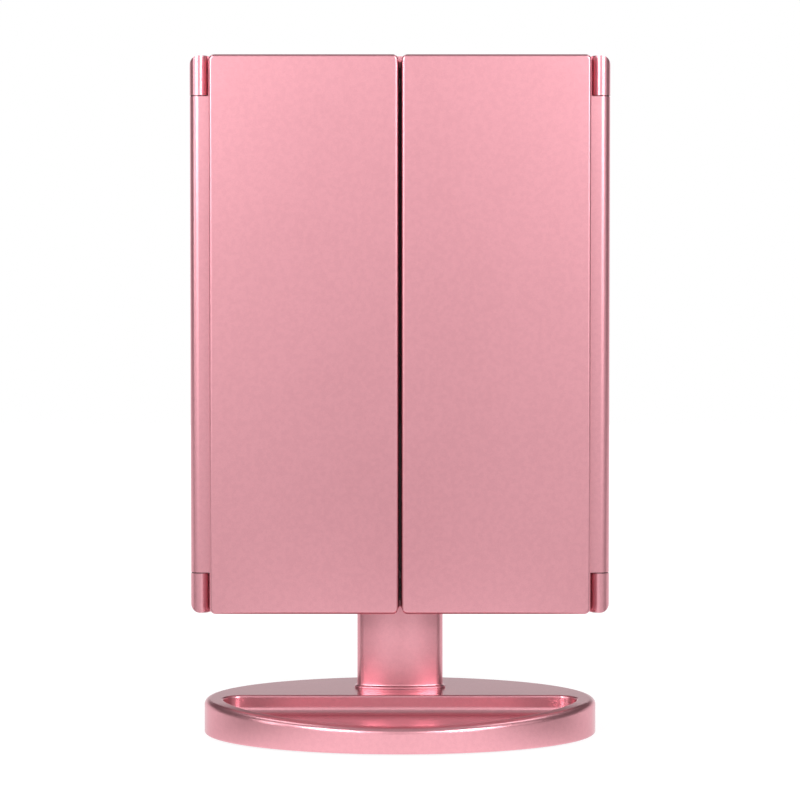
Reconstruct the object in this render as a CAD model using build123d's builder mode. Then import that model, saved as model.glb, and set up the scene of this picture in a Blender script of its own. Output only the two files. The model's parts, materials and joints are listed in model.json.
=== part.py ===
from build123d import *

import math
import os

# A lit trifold vanity mirror on an oval base. All sizes are in millimetres.
# X is to the viewer's right, the front faces -Y and Z is up. The origin is the middle of the
# footprint, on the table. The wings are closed over the middle mirror.

os.makedirs("parts", exist_ok=True)

# ---------------------------------------------------------------- clearances and fits
gap = 0.3  # free space between pieces that pass each other
seam = 0.1  # joint line between pieces assembled face to face
fit_gap = 0.03  # radial play of a piece seated in its hole
running_gap = 0.05  # radial play of a pin or shaft that turns in its bush

# ---------------------------------------------------------------- base
foot_height = 0.8  # rubber feet below the bottom edge
foot_radius = 6.0
foot_recess = 0.7
foot_inset_x = 43.6  # from the base's side to the middle of a foot
foot_inset_y = 18.5  # from its front or rear
base_half_width = 83.6
base_half_depth = 57.5
base_height = 15.45  # at the origin
base_fall = 0.7  # degrees, the top falls towards the front
base_bend_y = -14.2  # in front of it the top is bowed down
base_bend_radius = 263.0
base_top_radius = 2.5
base_edge_radius = 0.8
base_wall = 2.2
tray_rim_side = 8.0  # from the base's side to the tray
tray_rim_front = 4.45
tray_to_post = 23.7  # from the tray's rear wall to the middle of the post
tray_floor = 7.4
tray_wall = 1.5
tray_corner_radius = 8.0
tray_floor_radius = 3.2
tray_lip_radius = 0.9
cover_thickness = 1.5
ballast_thickness = 5.6
# Places of the cover's screws, as shares of the half width and the half depth.
cover_screw_shares = ((0.24, -0.852), (0.74, 0.478), (0.19, 0.835))
cover_screw_grip = 3.2  # of a screw in the base shell
hole_run = 0.5  # of a blind hole past the end of its screw

# ---------------------------------------------------------------- post
post_y = 28.3
post_half_width = 18.7
post_half_depth = 7.5  # in the middle of its bowed front and back
post_bow = 3.3  # of the front and back, from the middle to the sides
post_corner_radius = 3.9
post_wall = 1.8
post_foot_height = 0.9  # of the foot's edge above the base
post_foot_cove = 0.8  # radius of the hollow between the foot and the post
post_foot_land = 0.1  # flat ring between the hollow and the edge's rounding
post_foot_radius = 0.25
post_screw_low = 34.7
post_screw_high = 60.7
pivot_z = 76.7
carrier_thickness = 2.0
carrier_half_width = 13.0
carrier_tube_radius = 4.2
carrier_tube_half_length = 10.0
carrier_foot_depth = 15.0
carrier_screw_x = 7.5
bush_radius = 3.4
bush_length = 5.0
shaft_radius = 2.5
bracket_drop = 8.0  # of the tilt brackets below the shaft's middle
bracket_rise = 27.0  # above it
bracket_slant = 4.0
bracket_foot_height = 20.0
bracket_foot_margin = 1.0  # beside the boss under a bracket's foot
bracket_boss_height = 3.0
bracket_screw_offset = 9.0
bracket_screw_pitch = 10.0

# ---------------------------------------------------------------- head
contact_y = 12.0  # plane in which the closed wings meet the middle
head_bottom = 50.7
head_height = 239.4
housing_half_width = 81.4
housing_depth = 23.0
housing_wall = 1.8
housing_corner_radius = 4.2
rear_edge_radius = 3.5
frame_depth = 8.0  # of the front frame, along Y
web_thickness = 1.8
mirror_margin = 5.4  # from the housing's edge to the glass
mirror_set_back = 0.5
mirror_thickness = 3.0
mirror_corner_radius = 3.0
tape_thickness = 0.35
tape_width = 4.0
pocket_side_gap = 2.0
pocket_wall = 1.3
tilt_forward = 5.0  # degrees
pocket_gap = 0.4
frame_screw_end = 13.0  # from the head's top and bottom to the outer screws
frame_screw_grip = 7.5
frame_boss_gap = 2.0  # between the screw bosses and the rear wall
touch_rise = 9.0  # of the touch symbol above the glass's lower edge
touch_radius = 3.4
touch_line = 0.7

# ---------------------------------------------------------------- lights
lights_per_row = 7
window_radius = 3.0
window_thickness = 0.3
window_inset = 7.0  # from the edge of the glass to the middle of a window
side_row_length = 182.0
side_row_middle = 172.7
top_row_length = 108.0
slot_width = 7.0
slot_overrun = 5.0
rail_width = 1.0
rail_height = 0.9
led_width = 3.0
led_height = 0.8
board_thickness = 1.0
board_width = 9.6

# ---------------------------------------------------------------- wings and their hinges
hinge_offset = 4.95  # from the housing's side to the hinge axis
barrel_radius = 3.95
knuckle_radius = 4.0
knuckle_height = 17.0
barrel_end_gap = 0.4
pin_radius = 1.5
pin_reach = 13.0  # into the knuckle and into the barrel
sleeve_wall = 0.85
sleeve_length = 14.0
sleeve_flange_inset = 0.35  # of a sleeve's flange from the barrel's surface
wing_inner_x = 0.8
wing_overhang = 0.2  # of a wing over the housing's side
wing_thickness = 8.9
wing_wall = 1.8
wing_plate = 2.0
wing_corner_radius = 2.4
wing_edge_radius = 1.1
bezel_thickness = 1.5
bezel_width = 5.0  # from the wing's edge to the glass
bezel_lap = 1.2  # of the bezel over the glass
bezel_chamfer = 0.6
bezel_bar = 5.0  # between the two magnifying mirrors
wing_glass_thickness = 2.0
magnifier_thickness = 3.4
upper_magnifier_radius = 1000.0  # of the hollow of the twice enlarging glass
lower_magnifier_radius = 750.0
upper_share = 0.5  # of the height between the bezel's borders

# ---------------------------------------------------------------- batteries and electronics
cell_radius = 5.2
cell_length = 43.7
cell_button_radius = 1.9
cell_button_height = 0.8
cell_pitch = 11.2
cell_count = 4
cell_row_middle = 142.7  # height of the middle of the battery box
cell_play = 3.4  # room for the contacts at each end
box_wall = 1.2
door_thickness = 1.6
door_pin_radius = 0.55
door_pin_length = 1.4
door_ear = 3.0
contact_thickness = 0.3
spring_half_width = 3.8
control_board_inset = 15.4  # from the housing's side to the board
control_board_gap = 0.8  # between the board and the foot of the tilt bracket
control_board_height = 38.0
control_board_rise = 28.0  # of its middle above the head's bottom
control_board_space = 5.0  # between the web and the board
board_screw_edge = 5.0
board_screw_drop = 4.0
board_screw_grip = 3.0
socket_width = 7.8
socket_height = 3.0
socket_wall = 0.4
socket_depth = 5.0
socket_radius = 0.8
socket_tongue = 0.7
socket_shift = 4.0  # to the side of the board's middle
socket_drop = 14.0  # below it
lead_radius = 0.6
lead_bend = 2.0
lead_pitch = 2.0
lead_rise = 30.0  # of the leads to the lights above the middle of their rows

# ---------------------------------------------------------------- fasteners
screw_head_radius = 2.5
screw_head_height = 1.3
screw_radius = 1.2
screw_slot = 0.5
boss_radius = 2.7

# ---------------------------------------------------------------- sizes that follow
foot_x = base_half_width - foot_inset_x
foot_y = base_half_depth - foot_inset_y
tray_half_width = base_half_width - tray_rim_side
tray_half_depth = base_half_depth - tray_rim_front
tray_rear = post_y - tray_to_post
post_foot_flare = post_foot_cove + post_foot_land + post_foot_radius
post_screw_heights = (post_screw_low, post_screw_high)
hinge_x = housing_half_width + hinge_offset
wing_outer_x = housing_half_width + wing_overhang
head_top = head_bottom + head_height
head_middle = head_bottom + head_height / 2
housing_front = contact_y + gap
housing_rear = housing_front + housing_depth
frame_rear = housing_front + frame_depth
cover_front = frame_rear + seam
cover_inside = housing_rear - housing_wall
glass_front = housing_front + mirror_set_back
glass_rear = glass_front + mirror_thickness
web_front = glass_rear + tape_thickness + seam / 2
web_rear = web_front + web_thickness
mirror_half_width = housing_half_width - mirror_margin
mirror_height = head_height - 2 * mirror_margin
window_x = mirror_half_width - window_inset
window_top_z = head_middle + mirror_height / 2 - window_inset
led_front = web_rear + seam
board_front = led_front + led_height
board_rear = board_front + board_thickness
pocket_half_width = post_half_width + pocket_side_gap
pocket_radius = post_half_depth + pocket_gap + seam
wing_rear = contact_y - gap
wing_front = wing_rear - wing_thickness
bezel_front = wing_rear - bezel_thickness
wing_width = wing_outer_x - wing_inner_x
wing_middle_x = (wing_outer_x + wing_inner_x) / 2
sleeve_bore = pin_radius + running_gap
sleeve_radius = sleeve_bore + sleeve_wall
sleeve_reach = barrel_end_gap - seam  # of a sleeve out of the barrel's end
barrel_bottom = head_bottom + knuckle_height + barrel_end_gap
barrel_top = head_top - knuckle_height - barrel_end_gap
box_half_width = cell_length / 2 + cell_play + box_wall
box_half_height = cell_count * cell_pitch / 2 + box_wall
cell_y = cover_inside - gap - cell_radius
box_front = cell_y - cell_radius - seam - box_wall
door_half_width = box_half_width + box_wall / 2
door_bottom = cell_row_middle - box_half_height
door_top = cell_row_middle + box_half_height
door_front = cover_inside + seam
door_rear = door_front + door_thickness
door_pivot_y = (door_front + door_rear) / 2
door_pivot_z = door_bottom + door_thickness / 2
ballast_bottom = foot_height + cover_thickness + seam
ballast_top = ballast_bottom + ballast_thickness
ballast_front = tray_rear + tray_wall + gap
nut_radius = 4.0
nut_thickness = 2.4
bracket_thickness = 2.0
bracket_x = pocket_half_width + housing_wall + seam
bracket_front = web_rear + bracket_boss_height
bracket_screw_x = bracket_x + bracket_screw_offset
bracket_foot_x = bracket_screw_x + boss_radius + bracket_foot_margin
bracket_bottom = pivot_z - bracket_drop
bracket_top = pivot_z + bracket_rise
shaft_half_length = bracket_x + bracket_thickness + seam + nut_thickness + 2 * gap
control_board_left = bracket_foot_x + control_board_gap
control_board_right = housing_half_width - control_board_inset
control_board_width = control_board_right - control_board_left
control_board_x = (control_board_left + control_board_right) / 2
control_board_z = head_bottom + control_board_rise
control_board_y = web_rear + control_board_space
board_back = control_board_y + board_thickness
board_screw_left = control_board_left + board_screw_edge
board_screw_right = window_x - board_width / 2 - boss_radius - 2 * gap
board_screw_z = control_board_z + control_board_height / 2 - board_screw_drop
socket_x = control_board_x + socket_shift
socket_z = control_board_z - socket_drop

top_slope = Plane(
    origin=(0, 0, base_height),
    x_dir=(1, 0, 0),
    z_dir=(0, -math.sin(math.radians(base_fall)), math.cos(math.radians(base_fall))),
)


def upright(y):
    """Plane across the mirror at depth y: X to the right, Z up, extrudes towards the viewer."""
    return Plane.XZ.offset(-y)


def top_form(drop):
    """All that lies below the base's top, lowered by a drop: plane behind, bowed down in front."""
    fall = math.radians(base_fall)
    along = Vector(math.cos(fall), math.sin(fall))
    up = Vector(-math.sin(fall), math.cos(fall))
    bend = Vector(base_bend_y, base_height + base_bend_y * math.tan(fall))
    with BuildPart() as form:
        with BuildSketch(Plane.YZ):
            with BuildLine():
                bow = CenterArc(
                    bend - up * base_bend_radius, base_bend_radius - drop, 90 + base_fall, 20
                )
                Polyline(
                    bow @ 0,
                    bow @ 0 + along * 4 * base_half_depth,
                    (4 * base_half_depth, -base_height),
                    ((bow @ 1).X, -base_height),
                    bow @ 1,
                )
            make_face()
        extrude(amount=2 * base_half_width, both=True)
    return form.part


def save(part, name):
    """Label a finished piece and write its STEP file."""
    part.label = name
    export_step(part, f"parts/{name}.step")


def screw_form(length):
    """A countersunk screw: its head's flat lies on XY and its shank points to +Z."""
    with BuildPart() as form:
        Cone(
            screw_head_radius,
            screw_radius,
            screw_head_height,
            align=(Align.CENTER, Align.CENTER, Align.MIN),
        )
        Cylinder(screw_radius, length, align=(Align.CENTER, Align.CENTER, Align.MIN))
        for turn in (0, 90):
            with Locations(Location((0, 0, 0), (0, 0, turn))):
                Box(
                    1.3 * screw_head_radius,
                    screw_slot,
                    screw_head_height,
                    mode=Mode.SUBTRACT,
                )
    return form.part


def screws(places, length):
    """A group of equal screws, one at each place."""
    with BuildPart() as group:
        with Locations(*places):
            add(screw_form(length))
    return group.part


# ================================================================ base
def tray_outline(grow):
    """The tray seen from above: an ellipse with a straight rear side."""
    depth = tray_half_depth + grow
    turn = math.degrees(math.asin((tray_rear + grow) / depth))
    with BuildSketch() as outline:
        with BuildLine():
            front = EllipticalCenterArc(
                (0, 0), tray_half_width + grow, depth, 180 - turn, arc_size=180 + 2 * turn
            )
            Line(front @ 1, front @ 0)
        make_face()
        fillet(outline.vertices(), tray_corner_radius + grow)
    return outline.sketch


cover_screw_places = [
    (side * x * base_half_width, y * base_half_depth)
    for x, y in cover_screw_shares
    for side in (-1, 1)
]
carrier_screw_y_shift = carrier_foot_depth / 2 - boss_radius - 2 * gap

with BuildPart() as tray_pocket:
    with BuildSketch(Plane.XY.offset(tray_floor)):
        add(tray_outline(0))
    extrude(amount=2 * base_height)
    fillet(tray_pocket.faces().sort_by(Axis.Z)[0].edges(), tray_floor_radius)

with BuildPart() as base_cavity:
    with BuildSketch(Plane.XY):
        Ellipse(base_half_width - base_wall, base_half_depth - base_wall)
    extrude(amount=2 * base_height)
    add(top_form(base_wall), mode=Mode.INTERSECT)
    with BuildSketch(Plane.XY.offset(tray_floor - tray_wall)):
        add(tray_outline(tray_wall))
    extrude(amount=2 * base_height, mode=Mode.SUBTRACT)
    with BuildSketch(Plane.XY.offset(foot_height + cover_thickness + seam)):
        with Locations(*cover_screw_places):
            Circle(boss_radius)
    extrude(amount=2 * base_height, mode=Mode.SUBTRACT)

with BuildPart() as base_shell:
    with BuildSketch(Plane.XY.offset(foot_height)):
        Ellipse(base_half_width, base_half_depth)
    extrude(amount=2 * base_height)
    add(top_form(0), mode=Mode.INTERSECT)
    rim_edges = base_shell.edges().filter_by(GeomType.LINE, reverse=True)
    fillet(
        rim_edges.filter_by_position(Axis.Z, base_height / 2, 2 * base_height),
        base_top_radius,
    )
    fillet(base_shell.faces().sort_by(Axis.Z)[0].edges(), base_edge_radius)
    add(tray_pocket.part, mode=Mode.SUBTRACT)
    lip_edges = [
        edge
        for edge in base_shell.edges(Select.LAST).filter_by(Axis.Z, reverse=True)
        if edge.center().Z > base_height - tray_floor and abs(edge.center().Y - base_bend_y) > gap
    ]
    fillet(lip_edges, tray_lip_radius)
    add(base_cavity.part, mode=Mode.SUBTRACT)
    # Slot for the bracket that stands in the post.
    with BuildSketch(Plane.XY.offset(ballast_top)):
        with Locations((0, post_y)):
            Rectangle(2 * carrier_half_width + 2 * gap, carrier_thickness + 2 * gap)
    extrude(amount=base_height, mode=Mode.SUBTRACT)
    # Holes of the cover screws.
    with BuildSketch(Plane.XY.offset(foot_height)):
        with Locations(*cover_screw_places):
            Circle(screw_radius + fit_gap)
    extrude(amount=cover_thickness + cover_screw_grip + hole_run, mode=Mode.SUBTRACT)
save(base_shell.part, "base_shell")

with BuildPart() as base_bottom_cover:
    with BuildSketch(Plane.XY.offset(foot_height)):
        Ellipse(base_half_width - base_wall - gap, base_half_depth - base_wall - gap)
    extrude(amount=cover_thickness)
    with BuildSketch(Plane.XY.offset(foot_height)):
        with GridLocations(2 * foot_x, 2 * foot_y, 2, 2):
            Circle(foot_radius + fit_gap)
    extrude(amount=foot_recess, mode=Mode.SUBTRACT)
    with Locations(*[(x, y, foot_height) for x, y in cover_screw_places]):
        Cone(
            screw_head_radius + fit_gap,
            screw_radius + fit_gap,
            screw_head_height,
            align=(Align.CENTER, Align.CENTER, Align.MIN),
            mode=Mode.SUBTRACT,
        )
        Cylinder(screw_radius + fit_gap, 4 * cover_thickness, mode=Mode.SUBTRACT)
save(base_bottom_cover.part, "base_bottom_cover")

save(
    screws(
        [(x, y, foot_height) for x, y in cover_screw_places],
        cover_thickness + cover_screw_grip,
    ),
    "base_cover_screws",
)

with BuildPart() as rubber_feet:
    with BuildSketch():
        with GridLocations(2 * foot_x, 2 * foot_y, 2, 2):
            Circle(foot_radius)
    extrude(amount=foot_height + foot_recess)
    fillet(rubber_feet.edges().group_by(Axis.Z)[0], foot_recess / 2)
save(rubber_feet.part, "rubber_feet")

carrier_screw_spots = [
    (x, post_y + side * carrier_screw_y_shift)
    for x in (-carrier_screw_x, carrier_screw_x)
    for side in (-1, 1)
]
with BuildPart() as ballast_plate:
    with BuildSketch(Plane.XY.offset(ballast_bottom)):
        Ellipse(base_half_width - base_wall - gap, base_half_depth - base_wall - gap)
        with Locations((0, ballast_front)):
            Rectangle(
                4 * base_half_width,
                4 * base_half_depth,
                align=(Align.CENTER, Align.MAX),
                mode=Mode.SUBTRACT,
            )
        with Locations(*cover_screw_places):
            Circle(boss_radius + gap, mode=Mode.SUBTRACT)
        with Locations(*carrier_screw_spots):
            Circle(screw_radius + fit_gap, mode=Mode.SUBTRACT)
    extrude(amount=ballast_thickness)
    with Locations(*[(x, y, ballast_bottom) for x, y in carrier_screw_spots]):
        Cone(
            screw_head_radius + fit_gap,
            screw_radius + fit_gap,
            screw_head_height,
            align=(Align.CENTER, Align.CENTER, Align.MIN),
            mode=Mode.SUBTRACT,
        )
save(ballast_plate.part, "ballast_plate")

# ================================================================ post
def post_section(grow):
    """The post cut across: bowed front and back, rounded corners, grown all round."""
    side_depth = post_half_depth - post_bow
    with BuildSketch() as section:
        with BuildLine():
            front = ThreePointArc(
                (-post_half_width, post_y - side_depth),
                (0, post_y - post_half_depth),
                (post_half_width, post_y - side_depth),
            )
            back = ThreePointArc(
                (post_half_width, post_y + side_depth),
                (0, post_y + post_half_depth),
                (-post_half_width, post_y + side_depth),
            )
            Line(front @ 1, back @ 0)
            Line(back @ 1, front @ 0)
        make_face()
        fillet(section.vertices(), post_corner_radius)
        if grow:
            offset(amount=grow, kind=Kind.ARC)
    return section.sketch


def post_form(inset):
    """The oval post, its top rounded about the tilt shaft, drawn in by an inset."""
    depth = post_half_depth - inset
    with BuildPart() as form:
        with BuildSketch(Plane.XY.offset(foot_height)):
            add(post_section(-inset))
        extrude(amount=pivot_z + post_half_depth)
        with BuildSketch(Plane.YZ):
            with Locations((post_y, pivot_z)):
                Circle(depth)
                Rectangle(2 * depth, pivot_z, align=(Align.CENTER, Align.MAX))
        extrude(amount=post_half_width, both=True, mode=Mode.INTERSECT)
    return form.part


post_base_z = base_height + post_y * math.tan(math.radians(base_fall))
post_boss_radius = screw_radius + 1.5
post_boss_end = post_y - carrier_thickness / 2 - gap
post_head_y = post_y + post_half_depth - post_wall

with BuildPart() as post_body:
    add(post_form(0))
    with BuildSketch(Plane.XY.offset(foot_height)):
        add(post_section(post_foot_flare))
    extrude(amount=post_base_z + post_foot_height - foot_height)
    foot_face = post_body.faces().filter_by(Axis.Z).sort_by(Axis.Z)[-1]
    fillet(foot_face.inner_wires()[0].edges(), post_foot_cove)
    foot_face = post_body.faces().filter_by(Axis.Z).sort_by(Axis.Z)[-1]
    fillet(foot_face.outer_wire().edges(), post_foot_radius)
    add(post_form(post_wall), mode=Mode.SUBTRACT)
    split(bisect_by=top_slope.offset(seam), keep=Keep.TOP)
    with Locations(Location((0, post_y, pivot_z), (0, 90, 0))):
        Cylinder(shaft_radius + 2 * gap, 4 * post_half_width, mode=Mode.SUBTRACT)

with BuildPart() as post_front_shell:
    add(post_body.part)
    split(bisect_by=upright(post_y - seam / 2), keep=Keep.TOP)
    with BuildSketch(upright(post_boss_end)):
        with Locations(*[(0, z) for z in post_screw_heights]):
            Circle(post_boss_radius)
    extrude(amount=post_half_depth - post_wall - carrier_thickness / 2)
    with BuildSketch(upright(post_boss_end)):
        with Locations(*[(0, z) for z in post_screw_heights]):
            Circle(screw_radius + fit_gap)
    extrude(amount=post_half_depth - post_wall - carrier_thickness, mode=Mode.SUBTRACT)
save(post_front_shell.part, "post_front_shell")

with BuildPart() as post_rear_shell:
    add(post_body.part)
    split(bisect_by=upright(post_y + seam / 2), keep=Keep.BOTTOM)
    with BuildSketch(upright(post_y + post_half_depth - post_wall / 2)):
        with Locations(*[(0, z) for z in post_screw_heights]):
            Circle(post_boss_radius + 1.0)
    extrude(amount=post_half_depth - post_wall / 2 - carrier_thickness / 2 - gap)
    with BuildSketch(upright(post_y + post_half_depth + gap)):
        with Locations(*[(0, z) for z in post_screw_heights]):
            Circle(screw_head_radius + gap)
    extrude(amount=post_wall + gap, mode=Mode.SUBTRACT)
    with Locations(*[Location((0, post_head_y, z), (90, 0, 0)) for z in post_screw_heights]):
        Cone(
            screw_head_radius + fit_gap,
            screw_radius + fit_gap,
            screw_head_height,
            align=(Align.CENTER, Align.CENTER, Align.MIN),
            mode=Mode.SUBTRACT,
        )
        Cylinder(screw_radius + fit_gap, 3 * post_half_depth, mode=Mode.SUBTRACT)
save(post_rear_shell.part, "post_rear_shell")

save(
    screws(
        [Location((0, post_head_y, z), (90, 0, 0)) for z in post_screw_heights],
        2 * (post_half_depth - post_wall) - 1.5,
    ),
    "post_screws",
)

with BuildPart() as pivot_carrier:
    with BuildSketch(Plane.XY.offset(ballast_top)):
        with Locations((0, post_y)):
            RectangleRounded(2 * carrier_half_width, carrier_foot_depth, 2.0)
        with Locations(*carrier_screw_spots):
            Circle(screw_radius + fit_gap, mode=Mode.SUBTRACT)
    extrude(amount=carrier_thickness)
    with BuildSketch(Plane.XY.offset(ballast_top)):
        with Locations((0, post_y)):
            Rectangle(2 * carrier_half_width, carrier_thickness)
    extrude(amount=pivot_z - ballast_top)
    with Locations(Location((0, post_y, pivot_z), (0, 90, 0))):
        Cylinder(carrier_tube_radius, 2 * carrier_tube_half_length)
        Cylinder(bush_radius + fit_gap, 3 * carrier_tube_half_length, mode=Mode.SUBTRACT)
    # The post's screws and bosses pass through the sheet.
    with BuildSketch(upright(post_y + carrier_thickness)):
        with Locations(*[(0, z) for z in post_screw_heights]):
            Circle(post_boss_radius)
    extrude(amount=2 * carrier_thickness, mode=Mode.SUBTRACT)
save(pivot_carrier.part, "pivot_carrier")

save(
    screws([(x, y, ballast_bottom) for x, y in carrier_screw_spots],
           ballast_thickness + carrier_thickness),
    "carrier_screws",
)

bush_middle = carrier_tube_half_length - bush_length / 2
with BuildPart() as friction_bushes:
    with Locations(
        *[Location((side * bush_middle, post_y, pivot_z), (0, 90, 0)) for side in (-1, 1)]
    ):
        Cylinder(bush_radius, bush_length)
        Cylinder(shaft_radius + running_gap, 2 * bush_length, mode=Mode.SUBTRACT)
save(friction_bushes.part, "friction_bushes")

# ================================================================ head
with BuildPart() as tilt_shaft:
    with Locations(Location((0, post_y, pivot_z), (0, 90, 0))):
        Cylinder(shaft_radius, 2 * shaft_half_length)
    chamfer(tilt_shaft.edges(), 0.4)
save(tilt_shaft.part, "tilt_shaft")


def pocket_form(grow, bottom):
    """The pocket for the post, grown by its wall: side profile pushed out to both sides."""
    radius = pocket_radius + grow
    drop = pivot_z - bottom
    lean = math.radians(tilt_forward)
    with BuildPart() as form:
        with BuildSketch(Plane.YZ):
            with BuildLine():
                turn = CenterArc((post_y, pivot_z), radius, 90, 90)
                floor = (post_y - radius - drop * math.tan(lean), bottom)
                Polyline(
                    turn @ 1,
                    floor,
                    (housing_rear + 1, bottom),
                    (housing_rear + 1, pivot_z + radius),
                    turn @ 0,
                )
            make_face()
        extrude(amount=pocket_half_width + grow, both=True)
    return form.part


def hinge_places(side):
    """Lower and upper knuckle of one side: (x, y, z) of the knuckle's middle."""
    low = head_bottom + knuckle_height / 2
    high = head_top - knuckle_height / 2
    return [(side * hinge_x, contact_y, low), (side * hinge_x, contact_y, high)]


frame_screw_x = housing_half_width - housing_wall - boss_radius - gap
frame_screw_places = [
    (side * frame_screw_x, z)
    for side in (-1, 1)
    for z in (head_bottom + frame_screw_end, head_middle, head_top - frame_screw_end)
]
frame_boss_rear = cover_inside - frame_boss_gap
bracket_foot_z = bracket_top - bracket_foot_height / 2
bracket_screw_places = [
    (side * bracket_screw_x, bracket_foot_z + step * bracket_screw_pitch / 2)
    for side in (-1, 1)
    for step in (-1, 1)
]
board_screw_places = [(board_screw_left, board_screw_z), (board_screw_right, board_screw_z)]

with BuildPart() as knuckles:
    with Locations(*hinge_places(-1), *hinge_places(1)):
        Cylinder(knuckle_radius, knuckle_height)
    neck_width = hinge_x - housing_half_width + housing_corner_radius
    neck_depth = knuckle_radius - gap
    for side in (-1, 1):
        with Locations(
            *[
                (side * (hinge_x - neck_width / 2), contact_y + gap + neck_depth / 2, z)
                for x, y, z in hinge_places(side)
            ]
        ):
            Box(neck_width, neck_depth, knuckle_height)
    with BuildSketch(upright(contact_y + 2 * knuckle_radius)):
        with Locations((0, head_middle)):
            RectangleRounded(
                2 * (hinge_x + knuckle_radius), head_height, housing_corner_radius
            )
    extrude(amount=4 * knuckle_radius, mode=Mode.INTERSECT)

with BuildPart() as front_frame:
    with BuildSketch(upright(frame_rear)):
        with Locations((0, head_middle)):
            RectangleRounded(2 * housing_half_width, head_height, housing_corner_radius)
    extrude(amount=frame_depth)
    # Recess of the glass, and the hollow behind the web.
    with BuildSketch(upright(web_front)):
        with Locations((0, head_middle)):
            RectangleRounded(
                2 * mirror_half_width + 2 * gap,
                mirror_height + 2 * gap,
                mirror_corner_radius + gap,
            )
    extrude(amount=frame_depth, mode=Mode.SUBTRACT)
    with BuildSketch(upright(frame_rear)):
        with Locations((0, head_middle)):
            RectangleRounded(
                2 * (housing_half_width - housing_wall),
                head_height - 2 * housing_wall,
                housing_corner_radius - housing_wall,
            )
    extrude(amount=frame_rear - web_rear, mode=Mode.SUBTRACT)
    add(knuckles.part)
    # Rails that carry the light boards, bosses for the screws.
    with BuildSketch(upright(web_rear + rail_height)):
        for side in (-1, 1):
            with Locations(
                *[
                    (side * (window_x + edge * (slot_width + rail_width) / 2), side_row_middle)
                    for edge in (-1, 1)
                ]
            ):
                Rectangle(rail_width, side_row_length + 2 * slot_overrun)
        with Locations(
            *[
                (0, window_top_z + edge * (slot_width + rail_width) / 2)
                for edge in (-1, 1)
            ]
        ):
            Rectangle(top_row_length + 2 * slot_overrun, rail_width)
    extrude(amount=rail_height)
    with BuildSketch(upright(frame_boss_rear)):
        with Locations(*frame_screw_places):
            Circle(boss_radius)
    extrude(amount=frame_boss_rear - web_rear)
    with BuildSketch(upright(bracket_front - seam)):
        with Locations(*bracket_screw_places):
            Circle(boss_radius)
    extrude(amount=bracket_front - seam - web_rear)
    with BuildSketch(upright(control_board_y - seam)):
        with Locations(*board_screw_places):
            Circle(boss_radius)
    extrude(amount=control_board_y - seam - web_rear)
    # Light slots, and the opening in the web for the pocket of the post.
    with BuildSketch(upright(web_rear)):
        with Locations((-window_x, side_row_middle), (window_x, side_row_middle)):
            Rectangle(slot_width, side_row_length + 2 * slot_overrun)
        with Locations((0, window_top_z)):
            Rectangle(top_row_length + 2 * slot_overrun, slot_width)
        with Locations((0, head_bottom + housing_wall)):
            Rectangle(
                2 * (pocket_half_width + housing_wall + gap),
                pivot_z + pocket_radius + housing_wall + gap - head_bottom - housing_wall,
                align=(Align.CENTER, Align.MIN),
            )
    extrude(amount=web_thickness, mode=Mode.SUBTRACT)
    # The pocket runs out through the lower wall.
    with BuildSketch(upright(frame_rear)):
        with Locations((0, head_bottom)):
            Rectangle(2 * (pocket_half_width + housing_wall + gap), 3 * housing_wall)
    extrude(amount=frame_rear - web_front, mode=Mode.SUBTRACT)
    # Screw and pin holes.
    with BuildSketch(upright(frame_boss_rear)):
        with Locations(*frame_screw_places):
            Circle(screw_radius + fit_gap)
    extrude(amount=frame_screw_grip + 3 * hole_run, mode=Mode.SUBTRACT)
    with BuildSketch(upright(bracket_front)):
        with Locations(*bracket_screw_places):
            Circle(screw_radius + fit_gap)
    extrude(amount=bracket_boss_height + hole_run, mode=Mode.SUBTRACT)
    with BuildSketch(upright(control_board_y)):
        with Locations(*board_screw_places):
            Circle(screw_radius + fit_gap)
    extrude(amount=control_board_y - web_rear, mode=Mode.SUBTRACT)
    for side in (-1, 1):
        for z, way in ((head_bottom + knuckle_height, -1), (head_top - knuckle_height, 1)):
            with Locations((side * hinge_x, contact_y, z + way * pin_reach / 2)):
                Cylinder(pin_radius + fit_gap, pin_reach, mode=Mode.SUBTRACT)
save(front_frame.part, "front_frame")

with BuildPart() as rear_cavity:
    with BuildSketch(upright(cover_inside)):
        with Locations((0, head_middle)):
            RectangleRounded(
                2 * (housing_half_width - housing_wall),
                head_height - 2 * housing_wall,
                housing_corner_radius - housing_wall,
            )
    extrude(amount=cover_inside - cover_front + 1)
    add(pocket_form(housing_wall, head_bottom), mode=Mode.SUBTRACT)
    with BuildSketch(upright(cover_inside)):
        with Locations(*frame_screw_places):
            Circle(boss_radius + housing_wall)
    extrude(amount=cover_inside - frame_boss_rear - seam, mode=Mode.SUBTRACT)

with BuildPart() as pocket_front:
    add(pocket_form(pocket_wall, head_bottom))
    split(bisect_by=upright(cover_front + housing_wall), keep=Keep.TOP)

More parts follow.
